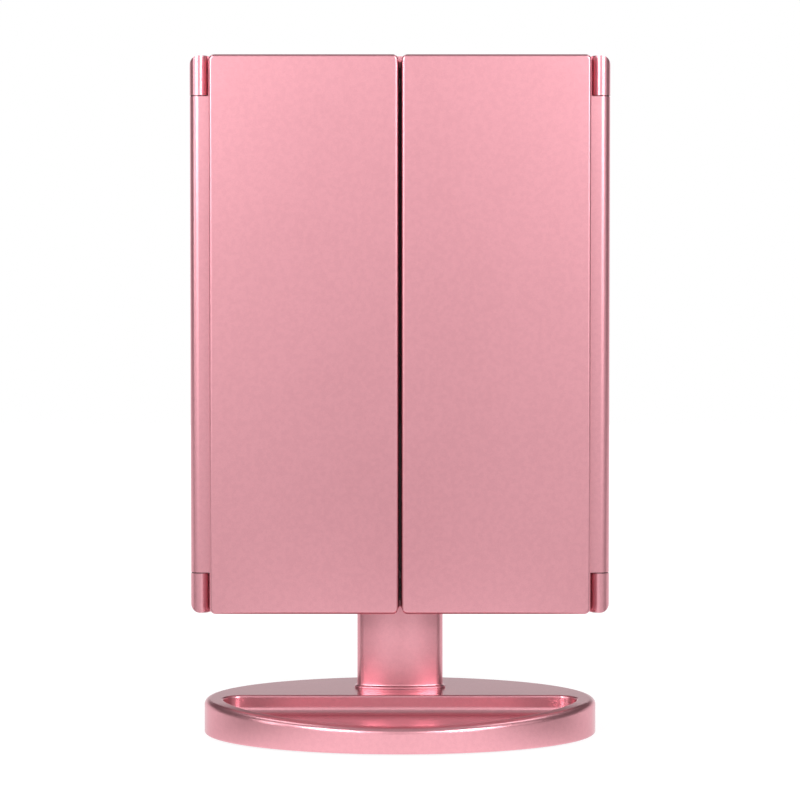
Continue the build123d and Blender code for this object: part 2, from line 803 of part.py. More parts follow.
with BuildPart() as rear_cover:
    with BuildSketch(upright(housing_rear)):
        with Locations((0, head_middle)):
            RectangleRounded(2 * housing_half_width, head_height, housing_corner_radius)
    extrude(amount=housing_rear - cover_front)
    fillet(rear_cover.faces().sort_by(Axis.Y)[-1].edges(), rear_edge_radius)
    add(rear_cavity.part, mode=Mode.SUBTRACT)
    add(pocket_front.part)
    add(pocket_form(0, head_bottom - 1), mode=Mode.SUBTRACT)
    with Locations(Location((0, post_y, pivot_z), (0, 90, 0))):
        Cylinder(shaft_radius + fit_gap, 2 * bracket_x + 2, mode=Mode.SUBTRACT)
    # Ears of the battery door, beside the opening.
    with BuildSketch(upright(cover_inside)):
        with Locations(
            *[
                (side * (door_half_width + gap + door_ear / 2), door_pivot_z)
                for side in (-1, 1)
            ]
        ):
            Rectangle(door_ear, 2 * door_ear)
    extrude(amount=housing_wall)
    with BuildSketch(upright(housing_rear)):
        with Locations((0, cell_row_middle)):
            Rectangle(2 * (door_half_width + gap), 2 * (box_half_height + gap))
    extrude(amount=housing_wall, mode=Mode.SUBTRACT)
    with Locations(Location((0, door_pivot_y, door_pivot_z), (0, 90, 0))):
        Cylinder(
            door_pin_radius + running_gap,
            2 * (door_half_width + door_pin_length + gap),
            mode=Mode.SUBTRACT,
        )
    # Mouth of the power socket.
    with BuildSketch(upright(housing_rear)):
        with Locations((socket_x, socket_z)):
            RectangleRounded(socket_width + 2 * gap, socket_height + 2 * gap, socket_radius)
    extrude(amount=housing_wall, mode=Mode.SUBTRACT)
    with Locations(
        *[Location((x, housing_rear, z), (90, 0, 0)) for x, z in frame_screw_places]
    ):
        Cone(
            screw_head_radius + fit_gap,
            screw_radius + fit_gap,
            screw_head_height,
            align=(Align.CENTER, Align.CENTER, Align.MIN),
            mode=Mode.SUBTRACT,
        )
        Cylinder(screw_radius + fit_gap, 10.0, mode=Mode.SUBTRACT)
save(rear_cover.part, "rear_cover")

save(
    screws(
        [Location((x, housing_rear, z), (90, 0, 0)) for x, z in frame_screw_places],
        housing_rear - frame_boss_rear + frame_screw_grip,
    ),
    "rear_cover_screws",
)

with BuildPart() as tilt_brackets:
    for side in (-1, 1):
        with BuildSketch(Plane.YZ.offset(side * (bracket_x + bracket_thickness / 2))):
            with BuildLine():
                Polyline(
                    (bracket_front, bracket_bottom + bracket_slant),
                    (post_y, bracket_bottom),
                    (cover_inside - gap, bracket_bottom + bracket_slant),
                    (cover_inside - gap, pivot_z + bracket_slant),
                    (bracket_front + bracket_slant, bracket_top),
                    (bracket_front, bracket_top),
                    close=True,
                )
            make_face()
        extrude(amount=bracket_thickness / 2, both=True)
        with BuildSketch(upright(bracket_front + bracket_thickness)):
            with Locations((side * (bracket_x + bracket_foot_x) / 2, bracket_foot_z)):
                Rectangle(bracket_foot_x - bracket_x, bracket_foot_height)
            with Locations(*bracket_screw_places):
                Circle(screw_radius + fit_gap, mode=Mode.SUBTRACT)
        extrude(amount=bracket_thickness)
    with Locations(Location((0, post_y, pivot_z), (0, 90, 0))):
        Cylinder(shaft_radius + fit_gap, 4 * bracket_x, mode=Mode.SUBTRACT)
save(tilt_brackets.part, "tilt_brackets")


def pan_screw_form(length):
    """A pan head screw: its head stands above XY and its shank points to +Z."""
    with BuildPart() as form:
        Cylinder(
            screw_head_radius,
            screw_head_height,
            align=(Align.CENTER, Align.CENTER, Align.MAX),
        )
        fillet(form.edges().group_by(Axis.Z)[0], 0.5)
        Cylinder(screw_radius, length, align=(Align.CENTER, Align.CENTER, Align.MIN))
        with Locations((0, 0, -screw_head_height)):
            Box(1.3 * screw_head_radius, screw_slot, screw_head_height, mode=Mode.SUBTRACT)
            Box(screw_slot, 1.3 * screw_head_radius, screw_head_height, mode=Mode.SUBTRACT)
    return form.part


with BuildPart() as bracket_screws:
    bracket_screw_y = bracket_front + bracket_thickness + fit_gap
    with Locations(
        *[Location((x, bracket_screw_y, z), (90, 0, 0)) for x, z in bracket_screw_places]
    ):
        add(pan_screw_form(bracket_thickness + bracket_boss_height))
save(bracket_screws.part, "bracket_screws")

with BuildPart() as shaft_nuts:
    nut_x = bracket_x + bracket_thickness + seam
    for side in (-1, 1):
        with BuildSketch(Plane.YZ.offset(side * (nut_x + nut_thickness / 2))):
            with Locations((post_y, pivot_z)):
                RegularPolygon(nut_radius, 6)
                Circle(shaft_radius + fit_gap, mode=Mode.SUBTRACT)
        extrude(amount=nut_thickness / 2, both=True)
save(shaft_nuts.part, "shaft_nuts")

side_lights = [
    (side * window_x, side_row_middle + side_row_length * (i / (lights_per_row - 1) - 0.5))
    for side in (-1, 1)
    for i in range(lights_per_row)
]
top_lights = [
    (top_row_length * (i / (lights_per_row - 1) - 0.5), window_top_z)
    for i in range(lights_per_row)
]
touch_place = (0.0, head_bottom + mirror_margin + touch_rise)

with BuildPart() as centre_mirror:
    with BuildSketch(upright(glass_rear)):
        with Locations((0, head_middle)):
            RectangleRounded(2 * mirror_half_width, mirror_height, mirror_corner_radius)
    extrude(amount=mirror_thickness)
    chamfer(centre_mirror.faces().sort_by(Axis.Y)[0].edges(), 0.4)
    with BuildSketch(upright(glass_front + window_thickness)):
        with Locations(*side_lights, *top_lights):
            Circle(window_radius + fit_gap)
        with Locations(touch_place):
            Circle(touch_radius + fit_gap)
    extrude(amount=window_thickness, mode=Mode.SUBTRACT)
save(centre_mirror.part, "centre_mirror")

with BuildPart() as frosted_windows:
    with BuildSketch(upright(glass_front + window_thickness)):
        with Locations(*side_lights, *top_lights):
            Circle(window_radius)
    extrude(amount=window_thickness)
save(frosted_windows.part, "frosted_windows")

with BuildPart() as touch_symbol:
    with BuildSketch(upright(glass_front + window_thickness)):
        with Locations(touch_place):
            Circle(touch_radius)
            Circle(touch_radius - touch_line, mode=Mode.SUBTRACT)
            with Locations((0, touch_radius)):
                Rectangle(3 * touch_line, touch_radius, mode=Mode.SUBTRACT)
        with Locations((touch_place[0], touch_place[1] + touch_radius)):
            Rectangle(touch_line, touch_radius, align=(Align.CENTER, Align.MAX))
    extrude(amount=window_thickness)
save(touch_symbol.part, "touch_symbol")

with BuildPart() as mirror_tape:
    tape_inset = 1.0
    with BuildSketch(upright(glass_rear + tape_thickness)):
        with Locations((0, head_middle)):
            Rectangle(
                2 * (mirror_half_width - tape_inset), mirror_height - 2 * tape_inset
            )
            Rectangle(
                2 * (mirror_half_width - tape_inset - tape_width),
                mirror_height - 2 * (tape_inset + tape_width),
                mode=Mode.SUBTRACT,
            )
    extrude(amount=tape_thickness)
save(mirror_tape.part, "mirror_tape")

with BuildPart() as touch_electrode:
    foil_thickness = 0.2
    with BuildSketch(upright(glass_rear + 2 * foil_thickness)):
        with Locations(touch_place):
            Rectangle(4 * touch_radius, 2 * touch_radius)
            Rectangle(control_board_left, touch_radius, align=(Align.MIN, Align.CENTER))
    extrude(amount=foil_thickness)
save(touch_electrode.part, "touch_electrode")

with BuildPart() as light_diffusers:
    with BuildSketch(upright(web_rear - seam)):
        with Locations((-window_x, side_row_middle), (window_x, side_row_middle)):
            Rectangle(
                slot_width - 2 * seam, side_row_length + 2 * slot_overrun - 2 * seam
            )
        with Locations((0, window_top_z)):
            Rectangle(
                top_row_length + 2 * slot_overrun - 2 * seam, slot_width - 2 * seam
            )
    extrude(amount=web_thickness - 2 * seam)
save(light_diffusers.part, "light_diffusers")

with BuildPart() as led_boards:
    with BuildSketch(upright(board_rear)):
        with Locations((-window_x, side_row_middle), (window_x, side_row_middle)):
            Rectangle(board_width, side_row_length + 2 * slot_overrun)
        with Locations((0, window_top_z)):
            Rectangle(top_row_length + 2 * slot_overrun, board_width)
    extrude(amount=board_thickness)
save(led_boards.part, "led_boards")

with BuildPart() as leds:
    with BuildSketch(upright(board_front)):
        with Locations(*side_lights, *top_lights):
            Rectangle(led_width, led_width)
    extrude(amount=led_height)
save(leds.part, "leds")

with BuildPart() as control_board:
    with BuildSketch(upright(control_board_y + board_thickness)):
        with Locations((control_board_x, control_board_z)):
            Rectangle(control_board_width, control_board_height)
        with Locations(*board_screw_places):
            Circle(screw_radius + fit_gap, mode=Mode.SUBTRACT)
    extrude(amount=board_thickness)
save(control_board.part, "control_board")

with BuildPart() as board_components:
    # Place and size as shares of the board, height in thicknesses of the board.
    for x, z, width, height, tall in (
        (-0.23, 0.08, 0.2, 0.16, 1.2),
        (0.17, 0.105, 0.13, 0.13, 1.0),
        (0.37, -0.105, 0.16, 0.13, 3.0),
        (-0.33, -0.26, 0.12, 0.18, 1.6),
    ):
        with BuildSketch(upright(board_back + seam + tall * board_thickness)):
            with Locations(
                (control_board_x + x * control_board_width,
                 control_board_z + z * control_board_height)
            ):
                Rectangle(width * control_board_width, height * control_board_height)
        extrude(amount=tall * board_thickness)
save(board_components.part, "board_components")

with BuildPart() as board_screws:
    with Locations(
        *[Location((x, board_back + fit_gap, z), (90, 0, 0)) for x, z in board_screw_places]
    ):
        add(pan_screw_form(board_thickness + board_screw_grip))
save(board_screws.part, "board_screws")

with BuildPart() as usb_socket:
    socket_rear = housing_rear - gap
    with BuildSketch(upright(socket_rear)):
        with Locations((socket_x, socket_z)):
            RectangleRounded(socket_width, socket_height, socket_radius)
    extrude(amount=socket_rear - board_back - seam)
    with BuildSketch(upright(socket_rear)):
        with Locations((socket_x, socket_z)):
            RectangleRounded(
                socket_width - 2 * socket_wall,
                socket_height - 2 * socket_wall,
                socket_radius - socket_wall / 2,
            )
            Rectangle(socket_width - 6 * socket_wall, socket_tongue, mode=Mode.SUBTRACT)
    extrude(amount=socket_depth, mode=Mode.SUBTRACT)
save(usb_socket.part, "usb_socket")

# ---------------------------------------------------------------- batteries
cell_heights = [
    cell_row_middle + cell_pitch * (i - (cell_count - 1) / 2) for i in range(cell_count)
]
with BuildPart() as battery_box:
    with BuildSketch(upright(cover_inside - seam)):
        with Locations((0, cell_row_middle)):
            Rectangle(2 * box_half_width, 2 * box_half_height)
    extrude(amount=cover_inside - seam - box_front)
    with BuildSketch(upright(cover_inside)):
        with Locations((0, cell_row_middle)):
            Rectangle(
                2 * (box_half_width - box_wall), 2 * (box_half_height - box_wall)
            )
    extrude(amount=cover_inside - box_front - box_wall, mode=Mode.SUBTRACT)
    # Low ribs between the cells.
    with BuildSketch(upright(cell_y - cell_radius / 2)):
        with Locations(
            *[(0, (a + b) / 2) for a, b in zip(cell_heights, cell_heights[1:])]
        ):
            Rectangle(2 * (box_half_width - box_wall), cell_pitch - 2 * cell_radius)
    extrude(amount=cell_radius / 2)
save(battery_box.part, "battery_box")

with BuildPart() as batteries:
    for i, z in enumerate(cell_heights):
        way = 1 if i % 2 else -1
        with Locations(Location((0, cell_y, z), (0, 90 * way, 0))):
            Cylinder(cell_radius - seam, cell_length)
        with Locations(
            Location((way * (cell_length / 2 + cell_button_height / 2), cell_y, z), (0, 90, 0))
        ):
            Cylinder(cell_button_radius, cell_button_height)
save(batteries.part, "batteries")

contact_x = cell_length / 2 + cell_play
with BuildPart() as battery_contacts:
    # Flat plates that touch the buttons of the cells.
    for i, z in enumerate(cell_heights):
        way = 1 if i % 2 else -1
        with Locations((way * (contact_x - seam - contact_thickness / 2), cell_y, z)):
            Box(contact_thickness, 1.5 * cell_radius, 1.5 * cell_radius)
        dimple = cell_play - cell_button_height - contact_thickness - 2 * seam
        with Locations(
            Location(
                (way * (contact_x - seam - contact_thickness - dimple / 2), cell_y, z),
                (0, 90, 0),
            )
        ):
            Cylinder(cell_button_radius, dimple)
save(battery_contacts.part, "battery_contacts")

with BuildPart() as battery_springs:
    # Bent leaf springs that press on the flat ends of the cells.
    for i, z in enumerate(cell_heights):
        way = -1 if i % 2 else 1
        outside = contact_x - seam
        inside = cell_length / 2 + seam
        with BuildSketch(Plane.XY.offset(z)):
            with BuildLine():
                Polyline(
                    (way * outside, cell_y + spring_half_width),
                    (way * outside, cell_y - spring_half_width),
                    (way * inside, cell_y),
                    (way * (inside + contact_thickness), cell_y + 2 * contact_thickness),
                    (
                        way * (outside - contact_thickness),
                        cell_y - spring_half_width + 3 * contact_thickness,
                    ),
                    (way * (outside - contact_thickness), cell_y + spring_half_width),
                    close=True,
                )
            make_face()
        extrude(amount=cell_radius / 2, both=True)
save(battery_springs.part, "battery_springs")

with BuildPart() as battery_door:
    with BuildSketch(upright(door_rear)):
        with Locations((0, cell_row_middle)):
            Rectangle(2 * door_half_width, 2 * box_half_height)
    extrude(amount=door_thickness)
    fillet(
        battery_door.edges().filter_by(Axis.X).group_by(Axis.Z)[0],
        door_thickness / 2 - fit_gap,
    )
    with Locations(Location((0, door_pivot_y, door_pivot_z), (0, 90, 0))):
        Cylinder(door_pin_radius, 2 * (door_half_width + door_pin_length))
    # Grip grooves near the upper edge.
    with BuildSketch(upright(door_rear)):
        with Locations(*[(0, door_top - 5.0 - 2.0 * i) for i in range(4)]):
            SlotOverall(14.0, 1.0)
    extrude(amount=0.5, mode=Mode.SUBTRACT)
save(battery_door.part, "battery_door")


def wire_form(points, bend):
    """A round lead along straight runs and bends."""
    with BuildPart() as form:
        with BuildLine() as path:
            FilletPolyline(*points, radius=bend)
        with BuildSketch(Plane(origin=path.line @ 0, z_dir=path.line % 0)):
            Circle(lead_radius)
        sweep(path=path.line)
    return form.part


with BuildPart() as wiring:
    lead_y = board_rear + 4 * lead_radius
    lead_end_y = board_back + 4 * lead_radius
    board_top = control_board_z + control_board_height / 2
    lights_z = side_row_middle + lead_rise
    for step in (0.0, lead_pitch):
        battery_lead_x = control_board_x - 4 * lead_pitch + step
        light_lead_x = control_board_x + step
        # From the battery box to the control board.
        add(
            wire_form(
                [
                    (box_half_width + seam, lead_y, cell_row_middle + step),
                    (battery_lead_x, lead_y, cell_row_middle + step),
                    (battery_lead_x, lead_y, board_top + 2 * lead_bend),
                    (battery_lead_x, lead_end_y, board_top - lead_bend),
                ],
                lead_bend,
            )
        )
        # From the light boards across to the control board.
        add(
            wire_form(
                [
                    (-window_x + step, board_rear + 1.6 * lead_radius, lights_z + step),
                    (-window_x + 2 * slot_width + step, lead_y, lights_z + step),
                    (light_lead_x, lead_y, lights_z + step),
                    (light_lead_x, lead_y, board_top + 2 * lead_bend),
                    (light_lead_x, lead_end_y, board_top - lead_bend),
                ],
                0.8 * lead_bend,
            )
        )
save(wiring.part, "wiring")

# ================================================================ hinges
for side, name in ((-1, "left"), (1, "right")):
    with BuildPart() as hinge_pins:
        for z in (head_bottom + knuckle_height, head_top - knuckle_height):
            with Locations((side * hinge_x, contact_y, z)):
                Cylinder(pin_radius, 2 * pin_reach - 2 * gap)
    save(hinge_pins.part, f"{name}_hinge_pins")

    with BuildPart() as hinge_sleeves:
        for z, way in ((barrel_bottom, 1), (barrel_top, -1)):
            outer_end = z - way * sleeve_reach
            flange = sleeve_reach - fit_gap
            with Locations((side * hinge_x, contact_y, outer_end + way * flange / 2)):
                Cylinder(barrel_radius - sleeve_flange_inset, flange)
            length = sleeve_length + sleeve_reach
            with Locations((side * hinge_x, contact_y, outer_end + way * length / 2)):
                Cylinder(sleeve_radius, length)
                Cylinder(sleeve_bore, length, mode=Mode.SUBTRACT)
    save(hinge_sleeves.part, f"{name}_hinge_sleeves")

# ================================================================ wings
with BuildPart() as right_wing_shell:
    with BuildSketch(upright(wing_rear)):
        with Locations((wing_middle_x, head_middle)):
            RectangleRounded(wing_width, head_height, wing_corner_radius)
    extrude(amount=wing_thickness)
    fillet(right_wing_shell.faces().sort_by(Axis.Y)[0].edges(), wing_edge_radius)
    with BuildSketch(upright(wing_rear)):
        with Locations((wing_middle_x, head_middle)):
            Rectangle(wing_width - 2 * wing_wall, head_height - 2 * wing_wall)
    extrude(amount=wing_thickness - wing_plate, mode=Mode.SUBTRACT)
    with BuildSketch(Plane.XY.offset(barrel_bottom)):
        with Locations((hinge_x, contact_y)):
            Circle(barrel_radius)
        leaf_start = wing_outer_x - wing_wall / 2
        with Locations((leaf_start, contact_y - gap)):
            Rectangle(
                hinge_x - leaf_start, barrel_radius - gap, align=(Align.MIN, Align.MAX)
            )
    extrude(amount=barrel_top - barrel_bottom)
    # The free side leans out, so that the closed wings almost meet at the mirror.
    with BuildSketch(Plane.XY.offset(head_bottom + wing_corner_radius)):
        with BuildLine():
            Polyline(
                (wing_inner_x, wing_front + wing_edge_radius),
                (seam, wing_rear),
                (wing_inner_x + wing_wall / 2, wing_rear),
                (wing_inner_x + wing_wall / 2, wing_front + wing_edge_radius),
                close=True,
            )
        make_face()
    extrude(amount=head_height - 2 * wing_corner_radius)
    for z, way in ((barrel_bottom, 1), (barrel_top, -1)):
        with Locations((hinge_x, contact_y, z + way * sleeve_length / 2)):
            Cylinder(sleeve_radius + fit_gap, sleeve_length, mode=Mode.SUBTRACT)
save(right_wing_shell.part, "right_wing_shell")

with BuildPart() as left_wing_shell:
    mirror(right_wing_shell.part, about=Plane.YZ)
save(left_wing_shell.part, "left_wing_shell")

bezel_half = (wing_width / 2 - wing_wall - seam, head_height / 2 - wing_wall - seam)
field_width = wing_width - 2 * bezel_width
field_height = head_height - 2 * bezel_width
upper_height = (field_height - bezel_bar) * upper_share
lower_height = field_height - bezel_bar - upper_height
upper_z = head_middle + field_height / 2 - upper_height / 2
lower_z = head_middle - field_height / 2 + lower_height / 2


def bezel(side, fields):
    """Frame plate of one wing with an opening for each (height, z) of its mirrors."""
    with BuildPart() as plate:
        with BuildSketch(upright(wing_rear)):
            with Locations((side * wing_middle_x, head_middle)):
                Rectangle(2 * bezel_half[0], 2 * bezel_half[1])
        extrude(amount=bezel_thickness)
        with BuildSketch(upright(wing_rear)):
            for height, z in fields:
                with Locations((side * wing_middle_x, z)):
                    RectangleRounded(field_width, height, mirror_corner_radius)
        extrude(amount=bezel_thickness, mode=Mode.SUBTRACT)
        openings = plate.faces().sort_by(Axis.Y)[-1].inner_wires()
        chamfer([edge for wire in openings for edge in wire.edges()], bezel_chamfer)
    return plate.part


def magnifier(height, z, radius):
    """A glass with a hollow front, which faces the middle mirror when closed."""
    glass_rear_y = bezel_front - seam
    corner = math.hypot(field_width / 2 + bezel_lap, height / 2 + bezel_lap)
    sag = radius - math.sqrt(radius**2 - corner**2)
    with BuildPart() as glass:
        with BuildSketch(upright(glass_rear_y)):
            with Locations((-wing_middle_x, z)):
                RectangleRounded(
                    field_width + 2 * bezel_lap,
                    height + 2 * bezel_lap,
                    mirror_corner_radius + bezel_lap,
                )
        extrude(amount=magnifier_thickness)
        with Locations((-wing_middle_x, glass_rear_y - sag + radius, z)):
            Sphere(radius, mode=Mode.SUBTRACT)
    return glass.part


save(bezel(1, [(field_height, head_middle)]), "right_wing_bezel")
save(bezel(-1, [(upper_height, upper_z), (lower_height, lower_z)]), "left_wing_bezel")
save(magnifier(upper_height, upper_z, upper_magnifier_radius), "upper_magnifier")
save(magnifier(lower_height, lower_z, lower_magnifier_radius), "lower_magnifier")

with BuildPart() as right_mirror:
    with BuildSketch(upright(bezel_front - seam)):
        with Locations((wing_middle_x, head_middle)):
            RectangleRounded(
                field_width + 2 * bezel_lap,
                field_height + 2 * bezel_lap,
                mirror_corner_radius + bezel_lap,
            )
    extrude(amount=wing_glass_thickness)
save(right_mirror.part, "right_mirror")

for side, name, glass in (
    (-1, "left", magnifier_thickness),
    (1, "right", wing_glass_thickness),
):
    with BuildPart() as pad:
        with BuildSketch(upright(bezel_front - glass - 2 * seam)):
            with Locations((side * wing_middle_x, head_middle)):
                Rectangle(field_width - 4.0, field_height - 4.0)
        extrude(amount=bezel_front - glass - 3 * seam - wing_front - wing_plate)
    save(pad.part, f"{name}_wing_pad")
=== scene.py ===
# %% [markdown]
# # A trifold vanity mirror
# The frame holds every rigid piece of the mirror at its real size: the oval base with its tray,
# the post, the lit head and the two wings folded over it. Nothing has to be modelled again, so
# this notebook gives each piece the surface that the real one has, and then lights the mirror
# like a packshot. Nothing of the frame is moved or resized, and no shape is added to the mirror.

# %% Load the frame
import json
import math

import bpy
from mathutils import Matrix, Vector

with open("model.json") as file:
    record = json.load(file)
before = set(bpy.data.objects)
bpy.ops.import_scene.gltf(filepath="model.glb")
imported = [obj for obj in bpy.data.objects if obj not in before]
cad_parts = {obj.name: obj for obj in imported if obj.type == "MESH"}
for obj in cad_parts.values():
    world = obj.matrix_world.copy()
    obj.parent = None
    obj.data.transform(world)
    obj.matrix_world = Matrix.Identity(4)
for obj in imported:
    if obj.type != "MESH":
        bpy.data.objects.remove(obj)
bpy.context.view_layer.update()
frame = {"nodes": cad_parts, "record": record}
print("nodes:", len(frame["nodes"]))

# %% [markdown]
# ## Camera
# A packshot is taken from about a metre with a long lens, so that upright edges stay almost
# parallel. The camera stands a little above the middle of the mirror and looks down by two
# degrees, which shows the tray as a narrow ellipse. A level camera with a shifted lens would
# frame the mirror as well, but a turned camera is simpler. All of it is sharp, without a depth
# of field.

# %% Place the camera
camera_distance = 1.0595
camera_height = 0.17887
camera_fall = math.radians(1.95)
camera_lens = 111.81

camera_data = bpy.data.cameras.new("packshot_camera")
camera_data.lens = camera_lens
camera_data.sensor_width = 36.0
camera_data.clip_end = 20.0
camera = bpy.data.objects.new("packshot_camera", camera_data)
camera.location = (0.0, -camera_distance, camera_height)
camera.rotation_euler = (math.pi / 2 - camera_fall, 0.0, 0.0)
bpy.context.scene.collection.objects.link(camera)
bpy.context.scene.camera = camera
print("camera", tuple(camera.location), "lens", camera_lens)

# %% [markdown]
# ## Start a finish
# Every finish starts from one Principled shader, with a colour, a share of metal and a
# roughness, and patterns then drive some of its sockets. Each kind of stuff could have a shader
# of its own, but most real surfaces are only a few values away from this one.

# %% Start a finish
def new_finish(title, colour, metallic, roughness):
    """A material with its Principled shader set to plain values."""
    material = bpy.data.materials.new(title)
    material.use_nodes = True
    shader = material.node_tree.nodes["Principled BSDF"]
    shader.inputs["Base Color"].default_value = (*colour, 1.0)
    shader.inputs["Metallic"].default_value = metallic
    shader.inputs["Roughness"].default_value = roughness
    print("finish:", title, "metallic", metallic, "roughness", roughness)
    return material, material.node_tree, shader


# %% [markdown]
# ## Patterns
# Flakes, wiping marks and mould grain could be painted on each piece, but noise in the piece's
# own coordinates needs no unwrapping and travels with the piece when it moves. The coordinates
# are in metres, so a scale of 1000 is a grain of about a millimetre.

# %% Patterns
def own_point(tree):
    """The shaded point in the piece's own coordinates."""
    return tree.nodes.new("ShaderNodeTexCoord").outputs["Object"]


def grain(tree, scale, detail=2.0, stretch=(1.0, 1.0, 1.0)):
    """Cloudy noise; returns its value socket."""
    mapping = tree.nodes.new("ShaderNodeMapping")
    mapping.inputs["Scale"].default_value = stretch
    noise = tree.nodes.new("ShaderNodeTexNoise")
    noise.inputs["Scale"].default_value = scale
    noise.inputs["Detail"].default_value = detail
    tree.links.new(own_point(tree), mapping.inputs["Vector"])
    tree.links.new(mapping.outputs["Vector"], noise.inputs["Vector"])
    return noise.outputs["Fac"]


def flakes(tree, scale):
    """Small cells, each with its own random shade; returns the shade socket."""
    cells = tree.nodes.new("ShaderNodeTexVoronoi")
    cells.inputs["Scale"].default_value = scale
    shade = tree.nodes.new("ShaderNodeSeparateColor")
    tree.links.new(own_point(tree), cells.inputs["Vector"])
    tree.links.new(cells.outputs["Color"], shade.inputs["Color"])
    return shade.outputs["Red"]


# %% [markdown]
# ## From a pattern to a look
# A pattern is a grey value from nought to one. It can be spread over a range of roughness,
# turned into two colours, or used as the height of a relief. A bump changes the shading and not
# the outline, which is enough for grain that is far finer than a millimetre.

# %% From a pattern to a look
def spread(tree, socket, low, high, start=0.3, stop=0.7):
    """Maps a noise value from start..stop to low..high."""
    remap = tree.nodes.new("ShaderNodeMapRange")
    for name, value in (("From Min", start), ("From Max", stop), ("To Min", low), ("To Max", high)):
        remap.inputs[name].default_value = value
    tree.links.new(socket, remap.inputs["Value"])
    return remap.outputs["Result"]


def two_tone(tree, socket, first, second, start=0.3, stop=0.7):
    """Mixes two colours by a noise value."""
    ramp = tree.nodes.new("ShaderNodeValToRGB")
    ramp.color_ramp.elements[0].position = start
    ramp.color_ramp.elements[0].color = (*first, 1.0)
    ramp.color_ramp.elements[1].position = stop
    ramp.color_ramp.elements[1].color = (*second, 1.0)
    tree.links.new(socket, ramp.inputs["Fac"])
    return ramp.outputs["Color"]


def relief(tree, socket, depth, below=None):
    """Bump of a real depth in metres, on top of another bump if one is given."""
    bump = tree.nodes.new("ShaderNodeBump")
    bump.inputs["Strength"].default_value = 1.0
    bump.inputs["Distance"].default_value = depth
    tree.links.new(socket, bump.inputs["Height"])
    if below is not None:
        tree.links.new(below, bump.inputs["Normal"])
    return bump.outputs["Normal"]


# %% [markdown]
# ## Helpers for sums and choices
# Some patterns are places and not noise: the steel ends of a battery cell, or the part of the
# floor that lies ahead of the base. They are worked out from coordinates with single sums, and a
# choice between two values or two colours follows. Small functions keep those chains readable.

# %% Helpers for sums and choices
def feed(tree, inlet, value):
    """Sets an inlet to a number or a colour, or links a socket to it."""
    if isinstance(value, (int, float)):
        inlet.default_value = value
    elif isinstance(value, tuple):
        inlet.default_value = (*value, 1.0)
    else:
        tree.links.new(value, inlet)


def maths(tree, operation, first, second=0.0):
    """One Math node on numbers or sockets."""
    node = tree.nodes.new("ShaderNodeMath")
    node.operation = operation
    for inlet, value in zip(node.inputs, (first, second)):
        feed(tree, inlet, value)
    return node.outputs["Value"]


def pick(tree, factor, first, second, kind="FLOAT", blend="MIX"):
    """Goes from the first value or socket to the second by a factor."""
    mix = tree.nodes.new("ShaderNodeMix")
    mix.data_type = kind
    mix.blend_type = blend
    for name, value in (("Factor", factor), ("A", first), ("B", second)):
        feed(tree, mix.inputs[name], value)
    return mix.outputs["Result"]


def pick_colour(tree, factor, first, second, blend="MIX"):
    """Goes from the first colour or socket to the second by a factor."""
    return pick(tree, factor, first, second, "RGBA", blend)


def axes_of(tree, point):
    """Splits a point or a direction; returns its X, Y and Z sockets."""
    split = tree.nodes.new("ShaderNodeSeparateXYZ")
    tree.links.new(point, split.inputs["Vector"])
    return split.outputs["X"], split.outputs["Y"], split.outputs["Z"]


# %% [markdown]
# ## Rose paint
# All visible shells are ABS with a metallic rose lacquer: fine flakes under a clear coat. A
# plain pink plastic would look flat, so the base is nine tenths metal. Each flake differs a
# little in shade and tilt, the colour drifts by up to four percent over a few millimetres, as
# sprayed paint does, and the clear coat over it all has the long shallow waves called orange
# peel. The coat is satin, so it shows soft boxes as a glow and not as hard shapes. Bare metal
# turns white at a grazing angle, but metal under lacquer keeps its colour there, so the edge
# tint is rose too.

# %% Rose paint
rose = (0.80, 0.36, 0.415)
rose_deep = (0.76, 0.325, 0.38)
rose_metal = 0.9
edge_tint = (0.9, 0.55, 0.62)
flake_density = 5200.0
flake_tilt = 0.0000015
drift_density = 520.0
drift_shade = (0.965, 0.96, 0.96)
full_shade = (1.0, 1.0, 1.0)
paint_roughness = 0.30
sheen_density = 26.0
sheen_swing = 0.006
coat_weight = 0.85
coat_roughness = 0.2
coat_ior = 1.5
peel_density = 420.0
peel_depth = 0.000006


def rose_paint():
    """Metal flakes in rose binder under a satin clear coat."""
    material, tree, shader = new_finish("rose_paint", rose, rose_metal, paint_roughness)
    flake_shade = two_tone(tree, flakes(tree, flake_density), rose_deep, rose, start=0.0, stop=1.0)
    drift = spread(tree, grain(tree, drift_density, detail=4.0), 0.0, 1.0, start=0.25, stop=0.75)
    drifting = two_tone(tree, drift, drift_shade, full_shade)
    colour = pick_colour(tree, 1.0, flake_shade, drifting, blend="MULTIPLY")
    tree.links.new(colour, shader.inputs["Base Color"])
    clouds = grain(tree, sheen_density, detail=4.0)
    sheen = spread(tree, clouds, paint_roughness - sheen_swing, paint_roughness + sheen_swing)
    tree.links.new(sheen, shader.inputs["Roughness"])
    waves = relief(tree, grain(tree, peel_density), peel_depth)
    sparkle = relief(tree, flakes(tree, flake_density), flake_tilt, waves)
    tree.links.new(sparkle, shader.inputs["Normal"])
    shader.inputs["Specular Tint"].default_value = (*edge_tint, 1.0)
    shader.inputs["Coat Weight"].default_value = coat_weight
    shader.inputs["Coat Roughness"].default_value = coat_roughness
    shader.inputs["Coat IOR"].default_value = coat_ior
    tree.links.new(waves, shader.inputs["Coat Normal"])
    return material


finishes = {"rose_paint": rose_paint()}
print("rose paint:", flake_density, "flakes a metre, roughness", paint_roughness)

# %% [markdown]
# ## Mirrors and lights
# A silvered glass reflects about nine tenths of the light and is perfectly smooth, with only a
# breath of haze where it was wiped. Clear glass over a layer of silver would be nearer to the
# real build, but it costs more bounces for a look that hardly differs, so one smooth metal
# stands for both.
# The light windows and the touch ring are places where the silver is etched away, so they look
# milky: a rough white with the fine grain of the etching.

